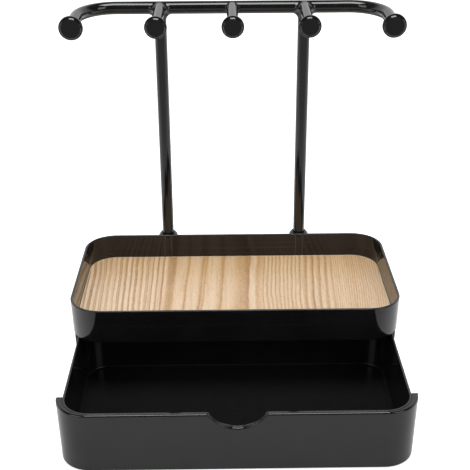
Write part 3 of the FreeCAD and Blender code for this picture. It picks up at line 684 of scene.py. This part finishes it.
class STAND_OT_casing(bpy.types.Operator):
    """Model the casing: the tray's rim and walls, the drawer bay and its mouth"""
    bl_idname = "jewelry_stand.casing"
    bl_label = "Casing"

    def execute(self, context):
        casing = settings().casing
        bm = bmesh.new()
        rim_outside, lip_outside, foot_outside = (
            casing_outline(bm, height) for height in (casing.rim_height, casing.lip, 0))
        rim_inside, tray_floor, bay_ceiling, lip_inside, foot_inside = (
            casing_outline(bm, height, casing.wall) for height in (
                casing.rim_height, casing.tray_floor, casing.bay_ceiling, casing.lip, 0))
        bridge(bm, tray_floor, rim_inside, rim_outside, lip_outside, foot_outside, foot_inside,
               lip_inside, bay_ceiling)
        fill(bm, tray_floor)
        fill(bm, bay_ceiling)
        soften(bm, rim_outside + rim_inside, casing.rim_rounding, segments=4)
        self.open_mouth(bm)
        low = casing.lip + HAIR
        soften(bm, creases(bm, lambda place: place.z < low), casing.edge_softness, segments=2)
        self.add_guides(bm)
        plastic = gloss_plastic("gloss_black_casing", wall_streaks_and_sheen=True)
        piece(bm, "casing_shell", "stand", "gloss_black", [plastic], "casing")
        return {"FINISHED"}

    def open_mouth(self, bm):
        """Cut the front away below the lip and close the cut."""
        front, lip = -settings().casing.side_start, settings().casing.lip
        cut_across(bm, front)
        centres = ((face, face.calc_center_median()) for face in bm.faces)
        cut_away = [face for face, centre in centres if centre.y < front and centre.z < lip]
        bmesh.ops.delete(bm, geom=cut_away, context="FACES")
        rim = [edge for edge in bm.edges if edge.is_boundary and middle(edge).z > TOUCH]
        bmesh.ops.bridge_loops(bm, edges=rim)

    def add_guides(self, bm):
        """Ribs above and beside the tub that hold the drawer down and centred."""
        casing, drawer = settings().casing, settings().drawer
        gap, sunk, thickness = 0.4 * MM, 0.5 * MM, 3 * MM
        side_low, side_high = drawer.height - 9 * MM, drawer.height - 6 * MM
        tub = drawer.tub_half_width
        start = -casing.side_start + 3 * MM
        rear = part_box("drawer_tub")[1][1] + 0.55 * box_size("drawer_tub", 1)
        wall = casing.width / 2 - draft_inset(drawer.height) - casing.wall / 2
        for near, far, low, high in (
                (tub - thickness, tub, drawer.height + gap, casing.bay_ceiling + sunk),
                (tub + gap, wall, side_low, side_high)):
            for side in SIDES:
                inner, outer = sorted((side * near, side * far))
                block(bm, (inner, start, low), (outer, rear, high))


class STAND_OT_panel(bpy.types.Operator):
    """Model the veneered panel with its eased upper edge"""
    bl_idname = "jewelry_stand.panel"
    bl_label = "Veneered Panel"

    def execute(self, context):
        panel, casing = settings().panel, settings().casing
        (_, _, bottom), (half_width, half_depth, top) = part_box("wood_panel")
        half_width, half_depth = half_width + panel.spread, half_depth + panel.spread
        radius = casing.corner_radius - (casing.width / 2 - half_width)
        bm = bmesh.new()
        lower, upper = (outline(bm, half_width, half_depth, half_depth, radius, height)
                        for height in (bottom, top))
        bridge(bm, lower, upper)
        fill(bm, lower)
        fill(bm, upper)
        soften(bm, upper, panel.easing, segments=3)
        piece(bm, "veneered_panel", "stand", "ash_panel", [ash_veneer("ash_veneer")], "wood_panel")
        return {"FINISHED"}


class STAND_OT_sockets(bpy.types.Operator):
    """Turn the two sockets behind the rear wall, each with a conical top and a flared mouth"""
    bl_idname = "jewelry_stand.sockets"
    bl_label = "Post Sockets"

    def execute(self, context):
        socket, top = settings().socket, settings().casing.rim_height
        shoulder = top - socket.cone_height
        profile = [
            (socket.screw_hole, socket.foot), (socket.radius, socket.foot),
            (socket.radius, shoulder), (socket.land, top), (socket.mouth, top),
            (socket.bore, top - socket.flare), (socket.bore, socket.floor),
            (socket.screw_hole, socket.floor),
        ]
        bm = bmesh.new()
        for side in SIDES:
            made = turned(bm, profile, steps=64)
            for vert in made:
                if vert.co.xy.length > socket.bore + HAIR:
                    vert.co.y -= max(0, shoulder - vert.co.z) * wall_lean()
            place = (side * socket.spacing / 2, socket.setback, 0)
            bmesh.ops.translate(bm, verts=made, vec=place)
        upper = creases(bm, lambda place: place.z > shoulder - HAIR, degrees=30)
        soften(bm, upper, socket.edge_softness, segments=2)
        piece(bm, "post_sockets", "stand", "gloss_black", [gloss_plastic("gloss_black_sockets")])
        return {"FINISHED"}


# ---- drawer ----

def notch_reach():
    """Half the width of the notch with its rounded shoulders."""
    drawer = settings().drawer
    total = drawer.notch_radius + drawer.notch_shoulder
    return math.sqrt(total ** 2 - (total - drawer.notch_depth) ** 2)


def notch_drop(x):
    """How far the drawer's front edge lies below its top at X, in the finger notch."""
    drawer = settings().drawer
    radius, shoulder, reach = drawer.notch_radius, drawer.notch_shoulder, notch_reach()
    if abs(x) >= reach:
        return 0
    if abs(x) > reach * radius / (radius + shoulder):
        return shoulder - math.sqrt(shoulder ** 2 - (reach - abs(x)) ** 2)
    return drawer.notch_depth - radius + math.sqrt(radius ** 2 - x ** 2)


def notch_columns(shoulder_steps=6, notch_steps=16):
    """X of the points along the front edge, close together on the shoulders."""
    drawer = settings().drawer
    reach, radius, shoulder = notch_reach(), drawer.notch_radius, drawer.notch_shoulder
    turn = math.asin(reach / (radius + shoulder))
    half = [reach - shoulder * math.sin(turn * step / shoulder_steps)
            for step in range(shoulder_steps + 1)]
    half += [radius * math.sin(turn * (1 - step / notch_steps))
             for step in range(1, notch_steps + 1)]
    return [-x for x in half[:-1]] + half[::-1]


def sink_notch(edges):
    """Lower an upper outline's front points into the notch, along the drafted wall."""
    for vert in {vert for edge in edges for vert in edge.verts}:
        if vert.co.y < 0:
            drop = notch_drop(vert.co.x)
            vert.co.z -= drop
            vert.co.y += drop * wall_lean()


def drawer_front_line():
    """Distance of the closed drawer's front face from the middle, at its top."""
    return settings().casing.depth / 2 - draft_inset(settings().drawer.height)


def tub_outline(bm, height, wall=0):
    """The drafted tub's section at a height, in the closed drawer's place."""
    drawer = settings().drawer
    inset = (drawer.height - height) * wall_lean() + wall
    front = drawer_front_line() - drawer.front_thickness
    back = drawer.tub_length - front
    return outline(bm, drawer.tub_half_width - inset, front - inset, back - inset,
                   drawer.tub_corner - inset, height, notch_columns())


def opened(bm):
    """Move a drawer piece from its closed place to where it stands open."""
    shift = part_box("drawer_front")[0][1] + drawer_front_line()
    bmesh.ops.translate(bm, verts=bm.verts, vec=(0, shift, 0))


class STAND_OT_drawer_tub(bpy.types.Operator):
    """Model the drawer's tub with its rounded floor edge, the notch and the gate mark"""
    bl_idname = "jewelry_stand.drawer_tub"
    bl_label = "Drawer Tub"

    def execute(self, context):
        drawer = settings().drawer
        bm = bmesh.new()
        underside, outer_top = (tub_outline(bm, height)
                                for height in (drawer.tub_bottom, drawer.height))
        inner_top, floor = (tub_outline(bm, height, drawer.tub_wall)
                            for height in (drawer.height, drawer.tub_floor))
        bridge(bm, underside, outer_top, inner_top, floor)
        sink_notch(outer_top + inner_top)
        fill(bm, underside)
        fill(bm, floor)
        soften(bm, floor, drawer.floor_rounding, segments=5)
        lowest = drawer.tub_bottom + HAIR
        soften(bm, creases(bm, lambda place: place.z < lowest), drawer.foot_rounding, segments=3)
        soften(bm, outer_top, drawer.seam_softness, segments=3)
        soften(bm, creases(bm), drawer.edge_softness, segments=3)
        self.add_gate_mark(bm)
        bmesh.ops.recalc_face_normals(bm, faces=bm.faces)
        rounding_top = drawer.tub_floor + drawer.floor_rounding
        for face in bm.faces:
            facing_up = face.normal.z > 0.05
            face.material_index = int(facing_up and face.calc_center_median().z < rounding_top)
        opened(bm)
        materials = [gloss_plastic("gloss_black_tub"), satin_black("satin_black_tub_floor")]
        piece(bm, "drawer_tub_shell", "drawer", "gloss_black", materials, "drawer_tub")
        return {"FINISHED"}

    def add_gate_mark(self, bm):
        """The low round mark that the moulding gate leaves in the middle of the floor."""
        drawer = settings().drawer
        sunk, edge_width, edge_drop = 0.5 * MM, 0.5 * MM, 0.1 * MM
        low, top = drawer.tub_floor - sunk, drawer.tub_floor + drawer.gate_height
        rim = drawer.gate_radius
        profile = [(0, low), (rim, low), (rim, top - edge_drop), (rim - edge_width, top), (0, top)]
        made = turned(bm, profile, steps=40, closed=False)
        place = drawer.tub_length / 2 - drawer_front_line() + drawer.front_thickness / 2
        bmesh.ops.translate(bm, verts=made, vec=(0, place, 0))


class STAND_OT_drawer_front(bpy.types.Operator):
    """Model the drawer's front, which wraps round both corners and ends in ears"""
    bl_idname = "jewelry_stand.drawer_front"
    bl_label = "Drawer Front"

    def execute(self, context):
        drawer = settings().drawer
        bm = bmesh.new()
        outer_top, outer_foot = (casing_outline(bm, height, columns=notch_columns())
                                 for height in (drawer.height, 0))
        inner_top, inner_foot = (tub_outline(bm, height) for height in (drawer.height, 0))
        bridge(bm, outer_top, outer_foot, inner_foot, inner_top, outer_top)
        sink_notch(outer_top + inner_top)
        cut_across(bm, drawer.ear_depth - drawer_front_line(), clear_outer=True)
        bmesh.ops.holes_fill(bm, edges=[edge for edge in bm.edges if edge.is_boundary])
        soften(bm, inner_top, drawer.seam_softness, segments=3)
        soften(bm, outer_top, drawer.front_softness, segments=5)
        soften(bm, creases(bm), drawer.edge_softness, segments=3)
        opened(bm)
        plastic = gloss_plastic("gloss_black_front")
        piece(bm, "drawer_front_panel", "drawer", "gloss_black", [plastic], "drawer_front")
        return {"FINISHED"}


# ---- hanger ----

class STAND_OT_caps(bpy.types.Operator):
    """Turn the five round caps on the ends of the pegs"""
    bl_idname = "jewelry_stand.caps"
    bl_label = "End Caps"

    def execute(self, context):
        caps = settings().caps
        materials = [gloss_plastic("gloss_black_caps"), satin_black("satin_black_cap_faces")]
        aim = Matrix.Rotation(math.pi / 2 + caps.peg_slope, 3, "X")
        for name in PEGS:
            low, high = (Vector(corner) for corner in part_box(f"cap_{name}"))
            bm = bmesh.new()
            turned(bm, self.profile((high.x - low.x) / 2), steps=72, closed=False)
            for face in bm.faces:
                on_top = face.calc_center_median().z > caps.thickness - TOUCH
                face.material_index = int(on_top)
            bmesh.ops.rotate(bm, verts=bm.verts, matrix=aim)
            shift = (low + high) / 2 - self.box_middle(bm)
            bmesh.ops.translate(bm, verts=bm.verts, vec=shift)
            piece(bm, f"turned_cap_{name}", "stand", "gloss_black", materials, f"cap_{name}",
                  sharp=20)
        return {"FINISHED"}

    def box_middle(self, bm):
        """Middle of a mesh's box."""
        places = [[vert.co[axis] for vert in bm.verts] for axis in range(3)]
        return Vector([(min(place) + max(place)) / 2 for place in places])

    def profile(self, radius, back_steps=7):
        """From the bore's floor, round the back, up the rim and over the step to the face."""
        caps = settings().caps
        back, top = caps.back_rounding, caps.thickness
        points = [(0, caps.spigot_depth), (caps.spigot, caps.spigot_depth), (caps.spigot, 0)]
        for step in range(back_steps + 1):
            turn = math.pi / 2 * step / back_steps
            points.append((radius - back + back * math.sin(turn), back - back * math.cos(turn)))
        bands = ((caps.step_width, caps.step_slope), (caps.flange_width, caps.flange_slope),
                 (caps.edge_width, caps.edge_slope))
        place, height = radius, top - sum(width * math.tan(slope) for width, slope in bands)
        for width, slope in reversed(bands):
            points.append((place, height))
            place, height = place - width, height + width * math.tan(slope)
        return points + [(place, top), (0, top)]


class STAND_OT_carried_parts(bpy.types.Operator):
    """Finish the hanger and the hidden parts, whose solids are shown as they are"""
    bl_idname = "jewelry_stand.carried_parts"
    bl_label = "Hanger and Hardware"

    def execute(self, context):
        coat(gloss_plastic("gloss_black_hanger"), "hanger_frame")
        coat(adhesive_film("adhesive_film"), "panel_adhesive")
        coat(satin_plastic("satin_black"), "base_plate")
        coat(rubber("black_rubber"),
             *(name for name in NODES if name.startswith(("foot_", "stop_bumper_"))))
        coat(plated_steel("plated_steel"), "post_screws", "post_washers")
        return {"FINISHED"}


# ---- stage ----

FLOOR_GLOW = 0.7     # the floor's own white to the camera near the stand; it is 1 far away
PAPER_SHARE = 0.65   # how far reflections see the shaded paper instead of the matt floor
PAPER_LEVEL = 0.82
ROOM_LEVEL = 0.05    # the dark room that reflections see beside and above the backdrop
# How bright the paper is, from its dark near end to behind the stand: each change, between
# which two distances from the middle it comes, and where across.
PAPER_START = 0.1
PAPER_CHANGES = (
    (0.25, -2.2, -1.0, "everywhere"),
    (0.66, -0.45, -0.21, "everywhere"),
    (-0.2, -0.21, -0.165, "middle"),
    (0.75, -0.17, -0.06, "everywhere"),
    (0.1, -0.4, -0.2, "sides"),
    (-1.55, 0.12, 0.4, "middle"),
)
LAMP_AIM = Vector((0, -0.04, 0.05))
LAMPS = (  # name, place, size, and share of the lamp power
    ("overhead", (0, -0.17, 1.35), (0.72, 0.66), 1.0),
    ("left_panel", (-0.96, -0.915, 0.845), (0.75, 0.85), 0.38),
    ("right_panel", (0.96, -0.915, 0.845), (0.75, 0.85), 0.38),
)


class STAND_OT_stage(bpy.types.Operator):
    """Set the pale floor, the soft lamps, the surroundings and the camera"""
    bl_idname = "jewelry_stand.stage"
    bl_label = "Stage"

    def execute(self, context):
        self.lay_floor()
        self.paint_surroundings()
        self.hang_lamps()
        self.set_camera()
        context.scene.view_settings.view_transform = "Standard"
        return {"FINISHED"}

    def lay_floor(self):
        bm = bmesh.new()
        half = settings().stage.floor_size / 2
        bmesh.ops.create_grid(bm, x_segments=1, y_segments=1, size=half)
        bmesh.ops.translate(bm, verts=bm.verts, vec=(0, 0, CAD_BOX[0][2]))
        mesh = bpy.data.meshes.new("floor")
        bm.to_mesh(mesh)
        bm.free()
        mesh.materials.append(self.floor_paper())
        show("floor", mesh)

    def floor_paper(self):
        """Pale and matt with the object's shadow, white to the camera, shaded to reflections."""
        finish = Finish(bpy.data.materials.new("pale_floor"))
        seen, mirrored = finish.rays()
        across, away, _ = finish.axes()
        matt = finish.node("ShaderNodeBsdfDiffuse", {}, Color=settings().stage.floor_colour)
        far = (across * across + away * away).between(0.3, 1.5)
        white = FLOOR_GLOW + (1 - FLOOR_GLOW) * far
        glow = finish.node("ShaderNodeEmission", {}, Color=white * seen)
        own = finish.node("ShaderNodeAddShader", {}, matt, glow)
        sides = across.size().between(0.12, 0.2)
        places = {"everywhere": 1, "middle": 1 - sides, "sides": sides}
        bright = PAPER_START + sum(change * away.between(start, end) * places[where]
                                   for change, start, end, where in PAPER_CHANGES)
        paper = finish.node("ShaderNodeEmission", {}, Color=PAPER_LEVEL * bright)
        both = finish.node("ShaderNodeMixShader", {}, PAPER_SHARE * mirrored, own, paper)
        finish.node("ShaderNodeOutputMaterial", {}, both)
        return finish.owner

    def paint_surroundings(self):
        """White to the camera, an even fill, and to reflections a backdrop in a dark room."""
        world = bpy.data.worlds.new("studio")
        bpy.context.scene.world = world
        finish = Finish(world)
        seen, mirrored = finish.rays()
        _, back, up = finish.axes(finish.node("ShaderNodeTexCoord", output="Generated"))
        backdrop = (back - up.at_least(0)).between(-0.5, 0.0) * (1 - up.between(0.6, 0.85))
        reflected = ROOM_LEVEL + (1 - ROOM_LEVEL) * backdrop
        around = mirrored * reflected + (1 - mirrored) * settings().stage.fill
        light = finish.node("ShaderNodeBackground", {}, seen + (1 - seen) * around)
        finish.node("ShaderNodeOutputWorld", {}, light)

    def hang_lamps(self):
        for name, place, size, share in LAMPS:
            lamp = bpy.data.lights.new(name, "AREA")
            lamp.shape = "RECTANGLE"
            lamp.size, lamp.size_y = size
            lamp.energy = settings().stage.lamp_power * share
            aim = (LAMP_AIM - Vector(place)).to_track_quat("-Z", "Y")
            show(name, lamp).matrix_world = Matrix.Translation(place) @ aim.to_matrix().to_4x4()

    def set_camera(self):
        stage = settings().stage
        camera = bpy.data.cameras.new("camera")
        camera.lens = stage.lens
        camera.sensor_width = 36
        camera.clip_start, camera.clip_end = 0.01, 50
        yaw, pitch, roll = stage.yaw, stage.pitch, stage.roll
        forward = Vector((math.sin(yaw) * math.cos(pitch), math.cos(yaw) * math.cos(pitch),
                          -math.sin(pitch)))
        level = Vector((math.cos(yaw), -math.sin(yaw), 0))
        upward = level.cross(forward)
        right = level * math.cos(roll) + upward * math.sin(roll)
        top = upward * math.cos(roll) - level * math.sin(roll)
        turn = Matrix((right, top, -forward)).transposed().to_4x4()
        made = show("camera", camera)
        made.matrix_world = Matrix.Translation(stage.camera_place) @ turn
        bpy.context.scene.camera = made


# ---- add-on ----

class StandSettings(bpy.types.PropertyGroup):
    casing: group(CasingSettings, "Casing", "Sizes of the casing")
    panel: group(PanelSettings, "Panel", "Sizes of the veneered panel's edge")
    socket: group(SocketSettings, "Sockets", "Sizes of the post sockets")
    drawer: group(DrawerSettings, "Drawer", "Sizes of the drawer")
    caps: group(CapSettings, "Caps", "Sizes of the end caps")
    finish: group(FinishSettings, "Finishes", "Colours and gloss")
    stage: group(StageSettings, "Stage", "Floor, lamps and camera")


OPERATORS = (STAND_OT_casing, STAND_OT_panel, STAND_OT_sockets, STAND_OT_drawer_tub,
             STAND_OT_drawer_front, STAND_OT_caps, STAND_OT_carried_parts, STAND_OT_stage)


class STAND_PT_panel(bpy.types.Panel):
    """Lists the stand's settings and the pieces that can be built"""
    bl_idname = "STAND_PT_panel"
    bl_label = "Jewelry Stand"
    bl_space_type = "VIEW_3D"
    bl_region_type = "UI"
    bl_category = "Stand"

    def draw(self, context):
        layout = self.layout
        stand = context.scene.jewelry_stand
        for group in StandSettings.__annotations__:
            box = layout.box()
            box.label(text=group.title())
            values = getattr(stand, group)
            for name in type(values).__annotations__:
                box.prop(values, name)
        for operator in OPERATORS:
            layout.operator(operator.bl_idname)


CLASSES = (CasingSettings, PanelSettings, SocketSettings, DrawerSettings, CapSettings,
           FinishSettings, StageSettings, StandSettings, *OPERATORS, STAND_PT_panel)


def register():
    for item in CLASSES:
        bpy.utils.register_class(item)
    bpy.types.Scene.jewelry_stand = PointerProperty(type=StandSettings)


def unregister():
    del bpy.types.Scene.jewelry_stand
    for item in reversed(CLASSES):
        bpy.utils.unregister_class(item)


def main():
    register()
    for operator in OPERATORS:
        family, name = operator.bl_idname.split(".")
        getattr(getattr(bpy.ops, family), name)()


if __name__ == "__main__":
    main()
